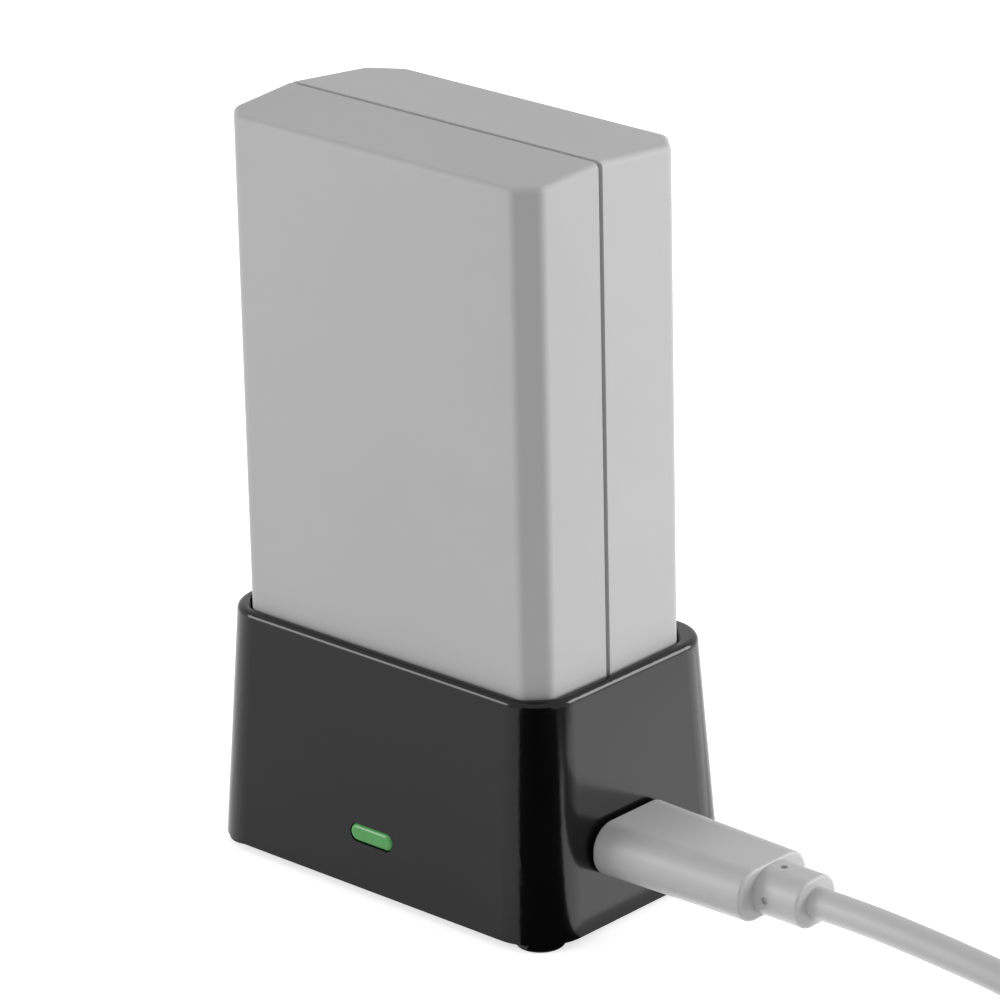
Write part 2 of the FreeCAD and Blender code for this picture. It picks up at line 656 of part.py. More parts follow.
def cover_screw(x, y):
    head_bottom = SCREW_SEAT - SCREW_HEAD_HEIGHT
    head = upright(x, y, SCREW_HEAD_RADIUS, head_bottom, SCREW_SEAT)
    head = head.makeFillet(SCREW_HEAD_ROUND, level_edges(head, head_bottom))
    screw = head.fuse(upright(x, y, SCREW_RADIUS, SCREW_SEAT, SCREW_SEAT + SCREW_LENGTH))
    half, reach = SCREW_CROSS_WIDTH / 2, SCREW_CROSS_REACH
    top = head_bottom + SCREW_CROSS_DEPTH
    cross = box(x - half, x + half, y - reach, y + reach, head_bottom, top)
    return screw.cut(cross.fuse(box(x - reach, x + reach, y - half, y + half, head_bottom, top)))


def circuit_board():
    x, y = BOARD_HALF_WIDTH, BOARD_HALF_DEPTH
    board = box(-x, x, -y, y, BOARD_BOTTOM, BOARD_TOP)
    post_room, boss_room = FOOT_RADIUS + BOARD_CORNER_CLEARANCE, BOSS_RADIUS + BOARD_HOLE_CLEARANCE
    holes = [upright(x, y, post_room, BOARD_BOTTOM, BOARD_TOP) for x, y in corners(FOOT_X, FOOT_Y)]
    holes += [upright(x, y, boss_room, BOARD_BOTTOM, BOARD_TOP) for x, y in corners(BOSS_X, BOSS_Y)]
    half_x, half_y = BLADE_THICKNESS / 2 + BLOCK_CLEARANCE, BLADE_WIDTH / 2 + BLOCK_CLEARANCE
    for place in blade_places():
        y0, y1 = TERMINAL_Y - half_y, TERMINAL_Y + half_y
        holes.append(box(place - half_x, place + half_x, y0, y1, BOARD_BOTTOM, BOARD_TOP))
    return cut_all(board, holes + socket_legs(BLOCK_CLEARANCE))


def socket_legs(grow):
    """Two tabs of the socket's shell that go down through the board."""
    legs = []
    x0 = SOCKET_REAR + SOCKET_LEG_PLACE
    for side in (-1, 1):
        middle = SOCKET_Y + side * (SOCKET_WIDTH - SOCKET_WALL) / 2
        y0, y1 = middle - SOCKET_WALL / 2 - grow, middle + SOCKET_WALL / 2 + grow
        z0 = BOARD_BOTTOM - SOCKET_LEG_TAIL
        legs.append(box(x0 - grow, x0 + SOCKET_LEG_LENGTH + grow, y0, y1, z0, SOCKET_Z))
    return legs


def socket_shell():
    shell = obround_x(SOCKET_WIDTH, SOCKET_HEIGHT, SOCKET_REAR, SOCKET_MOUTH, SOCKET_Y, SOCKET_Z)
    shell = fuse_all(shell, socket_legs(0))
    hollow = obround_x(SOCKET_INNER_WIDTH, SOCKET_INNER_HEIGHT, SOCKET_REAR, SOCKET_MOUTH, SOCKET_Y, SOCKET_Z)
    return shell.cut(hollow)


def socket_insulator():
    back_end = SOCKET_REAR + SOCKET_BACK
    back = obround_x(SOCKET_INNER_WIDTH, SOCKET_INNER_HEIGHT, SOCKET_REAR, back_end, SOCKET_Y, SOCKET_Z)
    tip = back_end + TONGUE_LENGTH
    return back.fuse(bar_x(TONGUE_WIDTH, TONGUE_THICKNESS, TONGUE_CORNER, back_end, tip, SOCKET_Y, SOCKET_Z))


def contact_block():
    half_x, half_y = BLOCK_HALF_WIDTH, BLOCK_HALF_DEPTH
    neck = box(-half_x, half_x, TERMINAL_Y - half_y, TERMINAL_Y + half_y, FLOOR_UNDERSIDE, BAY_FLOOR)
    half_x, half_y = half_x + BLOCK_FLANGE, half_y + BLOCK_FLANGE
    foot = box(-half_x, half_x, TERMINAL_Y - half_y, TERMINAL_Y + half_y, BOARD_TOP, FLOOR_UNDERSIDE)
    return cut_all(foot.fuse(neck), [contact_blade(x) for x in blade_places()])


def contact_blade(x):
    """Flat blade from under the board, through the block, up into the battery."""
    half, reach = BLADE_THICKNESS / 2, BLADE_WIDTH / 2
    top = BAY_FLOOR + BLADE_RISE
    blade = box(x - half, x + half, TERMINAL_Y - reach, TERMINAL_Y + reach, BOARD_BOTTOM - BLADE_TAIL, top)
    return blade.makeChamfer(BLADE_TIP, level_edges(blade, top))


def light_pipe():
    """Window with a rounded front that stands a little proud of the wall, and a flange behind the wall."""
    wall_front = -dock_half_depth(LIGHT_Z)
    front, rear = wall_front - LIGHT_PROUD, -BOARD_HALF_DEPTH - LED_GAP
    flange_front = wall_front + DOCK_WALL + LIGHT_WALL_GAP
    width, height = LIGHT_WIDTH - 2 * LIGHT_FIT, LIGHT_HEIGHT - 2 * LIGHT_FIT
    window = obround_y(width, height, front, rear, 0, LIGHT_Z)
    window = window.makeFillet(LIGHT_EDGE_ROUND, [e for e in window.Edges if e.BoundBox.YMax < front + NEAR])
    flange = obround_y(width + 2 * LIGHT_FLANGE, height + 2 * LIGHT_FLANGE, flange_front, rear, 0, LIGHT_Z)
    return window.fuse(flange)


def status_led():
    half, front = LED_WIDTH / 2, -BOARD_HALF_DEPTH
    return box(-half, half, front, front + LED_DEPTH, BOARD_TOP, BOARD_TOP + LED_HEIGHT)


def charge_controller():
    x, y = CONTROLLER_PLACE
    half = CONTROLLER_SIZE / 2
    return box(x - half, x + half, y - half, y + half, BOARD_TOP, BOARD_TOP + CONTROLLER_HEIGHT)


def boost_inductor():
    half = INDUCTOR_SIZE / 2
    coil = rounded_block(half, half, INDUCTOR_CORNER, BOARD_TOP, BOARD_TOP + INDUCTOR_HEIGHT)
    coil.translate(V(INDUCTOR_PLACE[0], INDUCTOR_PLACE[1], 0))
    return coil


def ceramic_capacitors():
    solids = []
    half_x, half_y = CAPACITOR_LENGTH / 2, CAPACITOR_WIDTH / 2
    top = BOARD_TOP + CAPACITOR_WIDTH
    for i in range(CAPACITOR_COUNT):
        x, y = CAPACITOR_PLACE[0], CAPACITOR_PLACE[1] + i * CAPACITOR_PITCH
        solids.append(box(x - half_x, x + half_x, y - half_y, y + half_y, BOARD_TOP, top))
    return Part.makeCompound(solids)


# USB-C end of the cable

def plug_shell():
    tip = PLUG_FRONT - PLUG_SHELL_LENGTH
    shell = obround_x(PLUG_SHELL_WIDTH, PLUG_SHELL_HEIGHT, tip, PLUG_FRONT, SOCKET_Y, SOCKET_Z)
    return shell.cut(plug_hollow(tip))


def plug_hollow(start):
    width, height = PLUG_SHELL_WIDTH - 2 * PLUG_SHELL_WALL, PLUG_SHELL_HEIGHT - 2 * PLUG_SHELL_WALL
    return obround_x(width, height, start, PLUG_FRONT, SOCKET_Y, SOCKET_Z)


def plug_insert():
    start = PLUG_FRONT - PLUG_SHELL_LENGTH + PLUG_INSERT_SETBACK
    width, height = TONGUE_WIDTH + 2 * PLUG_SLOT_CLEARANCE, TONGUE_THICKNESS + 2 * PLUG_SLOT_CLEARANCE
    corner = TONGUE_CORNER + PLUG_SLOT_CLEARANCE
    slot = bar_x(width, height, corner, start, start + PLUG_SLOT_LENGTH, SOCKET_Y, SOCKET_Z)
    return plug_hollow(start).cut(slot)


def plug_body():
    """Moulded grip that tapers a little from the socket to the cord."""
    half_width, half_height = PLUG_BODY_WIDTH / 2, PLUG_BODY_HEIGHT / 2
    rear_width, rear_height = half_width - PLUG_SIDE_TAPER, half_height - PLUG_FACE_TAPER
    front = (half_width, half_height, PLUG_BODY_CORNER, 0)
    rear = (rear_width, rear_height, PLUG_BODY_CORNER - PLUG_FACE_TAPER, PLUG_BODY_LENGTH)
    body = lofted_block(front, rear)
    body = body.makeFillet(PLUG_REAR_ROUND, level_edges(body, PLUG_BODY_LENGTH))
    body = body.makeFillet(PLUG_FRONT_ROUND, level_edges(body, 0))
    return lay_along_x(body, PLUG_FRONT, SOCKET_Y, SOCKET_Z)


def strain_collar():
    """Short sleeve on the cord, lying along Z, with a small round pit in each side."""
    half_width, half_height = COLLAR_WIDTH / 2, COLLAR_HEIGHT / 2
    collar = rounded_block(half_width, half_height, COLLAR_CORNER, 0, COLLAR_LENGTH)
    collar = collar.makeFillet(COLLAR_ROUND, level_edges(collar, COLLAR_LENGTH))
    for side in (-1, 1):
        for way, reach in ((V(side, 0, 0), half_width), (V(0, side, 0), half_height)):
            bottom = way * (reach - COLLAR_PIT_DEPTH) + V(0, 0, COLLAR_PIT_PLACE)
            collar = collar.cut(Part.makeCylinder(COLLAR_PIT_RADIUS, CUT_PAST, bottom, way))
    return collar


# Cord

def route_edges(points):
    """Straight runs joined by tangent arcs, each as large as its two runs allow; also the arcs' radii."""
    stations = [V(*p) for p in points]
    edges, radii, start = [], [], stations[0]
    for before, corner, after in zip(stations, stations[1:], stations[2:]):
        into, out = (corner - before), (after - corner)
        reach = ARC_SHARE * min(into.Length, out.Length)
        first = corner - into * (reach / into.Length)
        last = corner + out * (reach / out.Length)
        half_turn = into.getAngle(out) / 2
        radius = reach / math.tan(half_turn)
        radii.append(radius)
        inward = (first + last) * 0.5 - corner
        sag = radius / math.cos(half_turn) - radius
        middle = corner + inward * (sag / inward.Length)
        edges.append(Part.LineSegment(start, first).toShape())
        edges.append(Part.Arc(first, middle, last).toShape())
        start = last
    edges.append(Part.LineSegment(start, stations[-1]).toShape())
    return edges, radii


def cord_tube(points, name):
    edges, radii = route_edges(points)
    path = Part.Wire(edges)
    heading = V(*points[1]) - V(*points[0])
    section = Part.Wire(Part.Circle(V(*points[0]), heading, CORD_DIAMETER / 2).toShape())
    tube = path.makePipeShell([section], True, False)
    expected = math.pi * CORD_DIAMETER ** 2 / 4 * path.Length
    print(name, "arc radii", [round(r, 1) for r in radii], "length", round(path.Length, 2))
    print(name, "volume against section times length", round(tube.Volume / expected, 5))
    return tube


def ring(r0, r1, z0, z1):
    """Ring of rectangular section about an upright axis through the origin."""
    wire = Part.makePolygon([V(r0, 0, z0), V(r1, 0, z0), V(r1, 0, z1), V(r0, 0, z1), V(r0, 0, z0)])
    return Part.Face(wire).revolve(V(0, 0, 0), V(0, 0, 1), 360)


def cord_coil():
    """Outer form of all the coiled turns."""
    turns = ring(COIL_INNER_RADIUS, COIL_OUTER_RADIUS, COIL_BOTTOM, COIL_TOP)
    turns.translate(V(COIL_X, COIL_Y, 0))
    return turns


def free_cord(points, name):
    """Stretch of cord outside the coil, cut where it goes in among the turns."""
    return cord_tube(points, name).cut(cord_coil())


def coil_tie():
    """Straight band wrapped round the bundle of turns on the side nearest the dock."""
    wrap, reach = TIE_THICKNESS, COIL_OUTER_RADIUS + TIE_WIDTH
    band = ring(COIL_INNER_RADIUS - wrap, COIL_OUTER_RADIUS + wrap, COIL_BOTTOM - wrap, COIL_TOP + wrap)
    band = band.cut(ring(COIL_INNER_RADIUS, COIL_OUTER_RADIUS, COIL_BOTTOM, COIL_TOP))
    band = band.common(box(-reach, 0, -TIE_WIDTH / 2, TIE_WIDTH / 2, 0, reach))
    band.translate(V(COIL_X, COIL_Y, 0))
    return band


# USB-A end of the cable, which points towards -X

def usb_a_along(shape, start):
    return lay_along_x(shape, USB_A_FRONT - start, USB_A_Y, USB_A_Z, -90)


def usb_a_collar():
    collar = strain_collar()
    collar.rotate(V(0, 0, 0), V(1, 0, 0), 180)
    return usb_a_along(collar, COLLAR_LENGTH)


def usb_a_plug_body():
    body = rounded_block(USB_A_BODY_WIDTH / 2, USB_A_BODY_HEIGHT / 2, USB_A_BODY_CORNER, 0, USB_A_BODY_LENGTH)
    body = body.makeFillet(PLUG_REAR_ROUND, level_edges(body, 0))
    body = body.makeFillet(PLUG_FRONT_ROUND, level_edges(body, USB_A_BODY_LENGTH))
    return usb_a_along(body, COLLAR_LENGTH)


def usb_a_plug_shell():
    half_width, half_height = USB_A_SHELL_WIDTH / 2, USB_A_SHELL_HEIGHT / 2
    wall, length = USB_A_SHELL_WALL, USB_A_SHELL_LENGTH
    shell = rounded_block(half_width, half_height, USB_A_SHELL_CORNER, 0, length)
    shell = shell.cut(rounded_block(half_width - wall, half_height - wall, USB_A_INNER_CORNER, 0, length))
    half = USB_A_WINDOW_SIZE / 2
    z0, z1 = USB_A_WINDOW_PLACE, USB_A_WINDOW_PLACE + USB_A_WINDOW_SIZE
    for side in (-1, 1):
        x = side * USB_A_WINDOW_SPACING / 2
        shell = shell.cut(box(x - half, x + half, -half_height, half_height, z0, z1))
    return usb_a_along(shell, COLLAR_LENGTH + USB_A_BODY_LENGTH)


def usb_a_tongue_level():
    """Lower face of the tongue, above the open half of the plug."""
    return USB_A_Z + USB_A_SHELL_HEIGHT / 2 - USB_A_SHELL_WALL - USB_A_TONGUE_HEIGHT


def usb_a_plug_tongue():
    half = USB_A_SHELL_WIDTH / 2 - USB_A_SHELL_WALL
    root = USB_A_FRONT - COLLAR_LENGTH - USB_A_BODY_LENGTH
    tip = root - USB_A_SHELL_LENGTH + USB_A_TONGUE_SETBACK
    low = usb_a_tongue_level()
    high = low + USB_A_TONGUE_HEIGHT
    tongue = box(tip, root, USB_A_Y - half, USB_A_Y + half, low, high)
    crown = [e for e in level_edges(tongue, high) if e.BoundBox.XLength > USB_A_TONGUE_HEIGHT]
    return tongue.makeFillet(USB_A_INNER_CORNER, crown)


def usb_a_contacts():
    tip = USB_A_FRONT - COLLAR_LENGTH - USB_A_BODY_LENGTH - USB_A_SHELL_LENGTH + USB_A_CONTACT_SETBACK
    low, half = usb_a_tongue_level(), USB_A_CONTACT_WIDTH / 2
    solids = []
    for i in range(USB_A_CONTACT_COUNT):
        y = USB_A_Y + (i - (USB_A_CONTACT_COUNT - 1) / 2) * USB_A_CONTACT_PITCH
        x1 = tip + USB_A_CONTACT_LENGTH
        solids.append(box(tip, x1, y - half, y + half, low - USB_A_CONTACT_THICKNESS, low))
    return Part.makeCompound(solids)


def all_pieces():
    negative, sense, positive = [contact_blade(x) for x in blade_places()]
    return {
        "housing": housing(),
        "base_cover": base_cover(),
        "cover_screws": Part.makeCompound([cover_screw(x, y) for x, y in corners(BOSS_X, BOSS_Y)]),
        "circuit_board": circuit_board(),
        "usb_socket_shell": socket_shell(),
        "usb_socket_insulator": socket_insulator(),
        "contact_block": contact_block(),
        "contact_blade_negative": negative,
        "contact_blade_sense": sense,
        "contact_blade_positive": positive,
        "light_pipe": light_pipe(),
        "status_led": status_led(),
        "charge_controller": charge_controller(),
        "boost_inductor": boost_inductor(),
        "ceramic_capacitors": ceramic_capacitors(),
        "battery_front_shell": battery_shell(True),
        "battery_rear_shell": battery_shell(False).cut(terminal_window()),
        "battery_cell_left": cell_solid(-1),
        "battery_cell_right": cell_solid(1),
        "series_strip": series_strip(),
        "negative_strip": bottom_strip(-1),
        "positive_strip": bottom_strip(1),
        "protection_board": protection_board(),
        "protection_chip": protection_chip(),
        "terminal_block": terminal_block(),
        "terminal_clips": Part.makeCompound([terminal_clip(x) for x in blade_places()]),
        "usb_c_plug_shell": plug_shell(),
        "usb_c_plug_insert": plug_insert(),
        "usb_c_plug_body": plug_body(),
        "usb_c_collar": lay_along_x(strain_collar(), PLUG_REAR, SOCKET_Y, SOCKET_Z),
        "cord": free_cord(CORD_ROUTE, "cord"),
        "cord_coil": cord_coil(),
        "coil_tie": coil_tie(),
        "cord_tail": free_cord(TAIL_ROUTE, "cord_tail"),
        "usb_a_collar": usb_a_collar(),
        "usb_a_plug_body": usb_a_plug_body(),
        "usb_a_plug_shell": usb_a_plug_shell(),
        "usb_a_plug_tongue": usb_a_plug_tongue(),
        "usb_a_contacts": usb_a_contacts(),
    }


def write_pieces():
    os.makedirs("parts", exist_ok=True)
    for name, shape in all_pieces().items():
        size = shape.optimalBoundingBox(False)
        print(name, len(shape.Solids), "solids", shape.isValid(), round(shape.Volume, 2), "mm3",
              [round(v, 2) for v in (size.XMin, size.YMin, size.ZMin, size.XMax, size.YMax, size.ZMax)])
        shape.exportStep("parts/" + name + ".step")


write_pieces()
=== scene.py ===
import json
import math

import bmesh
import bpy
from mathutils import Matrix, Vector


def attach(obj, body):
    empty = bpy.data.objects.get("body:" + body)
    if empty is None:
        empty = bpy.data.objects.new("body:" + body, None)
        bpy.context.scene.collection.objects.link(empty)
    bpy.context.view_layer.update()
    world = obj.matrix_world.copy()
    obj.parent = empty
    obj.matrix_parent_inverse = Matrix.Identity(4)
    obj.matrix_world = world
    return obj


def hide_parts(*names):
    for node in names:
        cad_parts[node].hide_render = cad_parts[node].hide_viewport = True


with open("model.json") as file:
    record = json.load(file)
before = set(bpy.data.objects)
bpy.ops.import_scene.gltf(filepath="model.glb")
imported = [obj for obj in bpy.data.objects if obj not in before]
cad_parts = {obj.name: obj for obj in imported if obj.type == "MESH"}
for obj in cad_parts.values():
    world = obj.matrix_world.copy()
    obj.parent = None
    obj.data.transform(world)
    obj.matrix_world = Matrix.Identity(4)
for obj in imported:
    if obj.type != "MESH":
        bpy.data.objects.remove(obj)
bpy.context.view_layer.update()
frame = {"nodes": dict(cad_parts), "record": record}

# Flash battery charger: finishes, cable, camera and light.
# Metres, in the model's own frame; angles in degrees, powers in watts, texture scales per metre.

# Camera, from the perspective of the photograph
CAMERA_AZIMUTH = 42.82
CAMERA_ELEVATION = 21.43
CAMERA_ROLL = -1.28
CAMERA_DISTANCE = 0.62908
CAMERA_AIM = (0.00378, 0.00162, 0.04067)
CAMERA_LENS = 217.86
CAMERA_SENSOR = 36.0
CAMERA_CLIP = 0.01

# Cord from the collar of the USB-C plug to the coil, and from the coil to the collar of the USB-A plug
CORD_DIAMETER = 0.0033
CORD_ROUTE = [
    (0.049137, -0.0018, 0.0095),
    (0.0557, -0.0018, 0.0096),
    (0.0647, -0.0018, 0.0091),
    (0.0734, -0.0018, 0.0084),
    (0.0790, -0.0018, 0.00745),
    (0.0842, -0.0018, 0.0061),
    (0.0893, -0.0032, 0.00465),
    (0.0939, -0.0058, 0.00345),
]
TAIL_ROUTE = [
    (0.1304, -0.0044, 0.0063),
    (0.1333, 0.0026, 0.0078),
    (0.1333, 0.0101, 0.0093),
    (0.1304, 0.0171, 0.01045),
    (0.1251, 0.0225, 0.0113),
    (0.1181, 0.0254, 0.0119),
    (0.1107, 0.0254, 0.0119),
]

# Coil: two layers of turns; the route joins the lower one past its start, and the upper one stops short
COIL_CENTRE = (0.112, 0.00867)
COIL_INNER_TURN = 0.0132
COIL_TURNS = 3.0
COIL_LOW_Z = 0.00265
COIL_HIGH_Z = 0.00595
COIL_START = -135
COIL_ENTRY = -120
COIL_TURN_LEFT_OUT = 0.25
POINTS_PER_TURN = 24

# Strap round the coil
STRAP_WIDTH = 0.0080
STRAP_THICKNESS = 0.0006
STRAP_SLACK = 0.0001
STRAP_CORNER = 0.0022
STRAP_CORNER_STEPS = 6
STRAP_LAP = 0.0062

# Range of a noise texture that is spread over a finish's colours and numbers
NOISE_LOW = 0.3
NOISE_HIGH = 0.7

# Moulded plastic: slow drift of tone, and a fine grain with its change of gloss
DRIFT_SCALE = 60.0
GRAIN_DETAIL = 4.0
GRAIN_GLOSS = 0.04

# Metal: lines along the way it was rolled or drawn
LINE_SCALE = 900.0
LINE_DETAIL = 4.0
LINE_HEIGHT = 0.000004
LINE_SHADE = 0.9
LINE_SMOOTHER = 0.06
LINE_ROUGHER = 0.08

# Floor, world and softboxes
WHITE = (1.0, 1.0, 1.0, 1.0)
FLOOR_HALF = 3.0
FLOOR_COLOUR = (0.8, 0.8, 0.8, 1.0)
FLOOR_WHITE = 0.6
WORLD_LIGHT = 0.58
LAMP_DISTANCE = 0.6
LAMP_ELEVATION = 16

# Cards that only glossy surfaces see: two flat on the floor, and a black one upright
CARD_HEIGHT = 0.0002
CARD_MEETING_Y = -0.0085
BLACK_CARD_FROM = (0.021, -0.16)
BLACK_CARD_TO = (0.16, CARD_MEETING_Y)
WHITE_CARD_FROM = (0.0285, CARD_MEETING_Y)
WHITE_CARD_TO = (0.085, 0.085)
BRIGHT_CARD = 2.6
BLACK_CARD = 0.0
FLAG_AZIMUTH = 43
FLAG_DISTANCE = 0.2
FLAG_HALF_WIDTH = 0.12
FLAG_HEIGHT = 0.1

# Spot on the plug and the start of the cord
KICKER_AIM = (0.056, -0.002, 0.008)
KICKER_AZIMUTH = 20
KICKER_ELEVATION = 10
KICKER_DISTANCE = 0.3
KICKER_CONE = 13
KICKER_BLEND = 0.6
KICKER_RADIUS = 0.03
KICKER_POWER = 0.78


def add_object(name, data):
    made = bpy.data.objects.new(name, data)
    bpy.context.scene.collection.objects.link(made)
    return made


# Helpers for materials

def new_material(name):
    material = bpy.data.materials.new(name)
    material.use_nodes = True
    return material, material.node_tree.nodes, material.node_tree.links


def noise(material, scale, detail=3.0, stretch=(1.0, 1.0, 1.0)):
    """Noise over the part, placed by its own frame; stretch multiplies the scale along each axis."""
    nodes, links = material.node_tree.nodes, material.node_tree.links
    mapping = nodes.new("ShaderNodeMapping")
    mapping.inputs["Scale"].default_value = stretch
    links.new(nodes.new("ShaderNodeTexCoord").outputs["Object"], mapping.inputs["Vector"])
    texture = nodes.new("ShaderNodeTexNoise")
    texture.inputs["Scale"].default_value = scale
    texture.inputs["Detail"].default_value = detail
    links.new(mapping.outputs["Vector"], texture.inputs["Vector"])
    return texture.outputs["Fac"]


def spread(material, value, low, high):
    """Maps a texture's value onto a range of numbers."""
    node = material.node_tree.nodes.new("ShaderNodeMapRange")
    node.inputs["From Min"].default_value = NOISE_LOW
    node.inputs["From Max"].default_value = NOISE_HIGH
    node.inputs["To Min"].default_value = low
    node.inputs["To Max"].default_value = high
    material.node_tree.links.new(value, node.inputs["Value"])
    return node.outputs["Result"]


def tint(material, value, dark, light):
    """Maps a texture's value onto colours between two."""
    node = material.node_tree.nodes.new("ShaderNodeValToRGB")
    first, last = node.color_ramp.elements
    first.position = NOISE_LOW
    last.position = NOISE_HIGH
    first.color = (*dark, 1.0)
    last.color = (*light, 1.0)
    material.node_tree.links.new(value, node.inputs["Fac"])
    return node.outputs["Color"]


def bump(material, shader, value, height):
    node = material.node_tree.nodes.new("ShaderNodeBump")
    node.inputs["Distance"].default_value = height
    material.node_tree.links.new(value, node.inputs["Height"])
    material.node_tree.links.new(node.outputs["Normal"], shader.inputs["Normal"])


def shade(colour, share):
    return tuple(part * share for part in colour)


def moulded(name, colour, roughness, grain, height, vary=0.04, specular=0.5):
    """Moulded plastic: slow drift of tone, and a spark-eroded grain of a scale and a height."""
    material, nodes, links = new_material(name)
    shader = nodes["Principled BSDF"]
    drift = noise(material, DRIFT_SCALE)
    tone = tint(material, drift, shade(colour, 1 - vary), shade(colour, 1 + vary))
    links.new(tone, shader.inputs["Base Color"])
    texture = noise(material, grain, GRAIN_DETAIL)
    gloss = spread(material, texture, roughness - GRAIN_GLOSS, roughness + GRAIN_GLOSS)
    links.new(gloss, shader.inputs["Roughness"])
    shader.inputs["Specular IOR Level"].default_value = specular
    bump(material, shader, texture, height)
    return material


def plated(name, colour, roughness, stretch=(1.0, 12.0, 12.0)):
    """Metal with fine lines along the way it was rolled or drawn."""
    material, nodes, links = new_material(name)
    shader = nodes["Principled BSDF"]
    shader.inputs["Metallic"].default_value = 1.0
    lines = noise(material, LINE_SCALE, LINE_DETAIL, stretch)
    tone = tint(material, lines, shade(colour, LINE_SHADE), colour)
    links.new(tone, shader.inputs["Base Color"])
    gloss = spread(material, lines, roughness - LINE_SMOOTHER, roughness + LINE_ROUGHER)
    links.new(gloss, shader.inputs["Roughness"])
    bump(material, shader, lines, LINE_HEIGHT)
    return material


# Finishes, one for each material slot of the record

def dock_plastic():
    return moulded("dock_plastic", (0.003, 0.003, 0.0032), roughness=0.16, grain=5200.0,
                   height=0.0000006, vary=0.06, specular=0.3)


def cover_plastic():
    return moulded("cover_plastic", (0.016, 0.016, 0.0165), roughness=0.5, grain=3000.0,
                   height=0.000012, vary=0.06, specular=0.4)


def battery_plastic():
    return moulded("battery_plastic", (0.44, 0.44, 0.44), roughness=0.58, grain=4200.0,
                   height=0.000005, vary=0.015, specular=0.2)


def cable_grip():
    return moulded("cable_grip", (0.43, 0.43, 0.43), roughness=0.42, grain=3600.0,
                   height=0.000004, vary=0.02, specular=0.4)


def cord_jacket():
    return moulded("cord_jacket", (0.43, 0.43, 0.43), roughness=0.45, grain=2600.0,
                   height=0.000006, vary=0.025, specular=0.4)


def black_insulator():
    return moulded("black_insulator", (0.02, 0.02, 0.02), roughness=0.45, grain=3000.0,
                   height=0.000004)


def chip_black():
    return moulded("chip_black", (0.03, 0.03, 0.031), roughness=0.6, grain=6000.0,
                   height=0.000006)


def ferrite():
    return moulded("ferrite", (0.07, 0.07, 0.075), roughness=0.7, grain=4000.0,
                   height=0.00002, vary=0.15)


def ceramic():
    return moulded("ceramic", (0.45, 0.33, 0.2), roughness=0.55, grain=5000.0,
                   height=0.000004, vary=0.08)


def white_insulator():
    return moulded("white_insulator", (0.74, 0.74, 0.73), roughness=0.4, grain=3000.0,
                   height=0.000004, vary=0.02)


def led_body():
    return moulded("led_body", (0.72, 0.7, 0.45), roughness=0.3, grain=4000.0,
                   height=0.000003, vary=0.1)


def screw_steel():
    return plated("screw_steel", (0.12, 0.12, 0.13), roughness=0.4, stretch=(1.0, 1.0, 6.0))


def plated_steel():
    return plated("plated_steel", (0.66, 0.66, 0.67), roughness=0.24)


def nickel():
    return plated("nickel", (0.66, 0.64, 0.6), roughness=0.3)


def contact_brass():
    return plated("contact_brass", (0.83, 0.6, 0.24), roughness=0.25)


def light_window():
    """Green light guide with a faint glow from the lamp behind it."""
    material, nodes, links = new_material("light_window")
    shader = nodes["Principled BSDF"]
    cloud = noise(material, scale=900.0)
    green = tint(material, cloud, dark=(0.05, 0.25, 0.055), light=(0.06, 0.29, 0.065))
    links.new(green, shader.inputs["Base Color"])
    links.new(green, shader.inputs["Emission Color"])
    shader.inputs["Emission Strength"].default_value = 0.1
    links.new(spread(material, cloud, low=0.25, high=0.35), shader.inputs["Roughness"])
    return material


def board_laminate():
    """Green solder mask over a woven laminate."""
    material, nodes, links = new_material("board_laminate")
    shader = nodes["Principled BSDF"]
    weave = noise(material, scale=2500.0, detail=2.0, stretch=(1.0, 4.0, 4.0))
    green = tint(material, weave, dark=(0.012, 0.11, 0.045), light=(0.02, 0.16, 0.07))
    links.new(green, shader.inputs["Base Color"])
    links.new(spread(material, weave, low=0.3, high=0.45), shader.inputs["Roughness"])
    bump(material, shader, weave, height=0.00001)
    return material


def cell():
    """Shrunk plastic sleeve with faint draw lines up the cell."""
    material, nodes, links = new_material("cell")
    shader = nodes["Principled BSDF"]
    lines = noise(material, scale=700.0, stretch=(6.0, 6.0, 1.0))
    blue = tint(material, lines, dark=(0.03, 0.16, 0.25), light=(0.045, 0.2, 0.3))
    links.new(blue, shader.inputs["Base Color"])
    links.new(spread(material, lines, low=0.22, high=0.34), shader.inputs["Roughness"])
    bump(material, shader, lines, height=0.00001)
    return material


def tie_fabric():
    """Looped strap: short ribs of yarn."""
    material, nodes, links = new_material("tie_fabric")
    shader = nodes["Principled BSDF"]
    yarn = noise(material, scale=1500.0, stretch=(1.0, 3.0, 1.0))
    grey = tint(material, yarn, dark=(0.12, 0.12, 0.125), light=(0.26, 0.26, 0.27))
    links.new(grey, shader.inputs["Base Color"])
    links.new(spread(material, yarn, low=0.75, high=0.95), shader.inputs["Roughness"])
    shader.inputs["Sheen Weight"].default_value = 0.3
    bump(material, shader, yarn, height=0.00012)
    return material


FINISHES = [
    dock_plastic, cover_plastic, screw_steel, board_laminate, plated_steel, black_insulator,
    contact_brass, light_window, led_body, chip_black, ferrite, ceramic, battery_plastic, cell,
    nickel, cable_grip, cord_jacket, tie_fabric, white_insulator,
]


def dress_nodes():
    """Gives each node of the model the finish of its material slot."""
    finishes = {make.__name__: make() for make in FINISHES}
    for subpart in frame["record"]["subparts"]:
        mesh = frame["nodes"][subpart["node"]].data
        mesh.materials.clear()
        mesh.materials.append(finishes[subpart["material_slot"]])
    return finishes


# Cable

def coil_point(angle, radius, z):
    x = COIL_CENTRE[0] + radius * math.cos(angle)
    return (x, COIL_CENTRE[1] + radius * math.sin(angle), z)


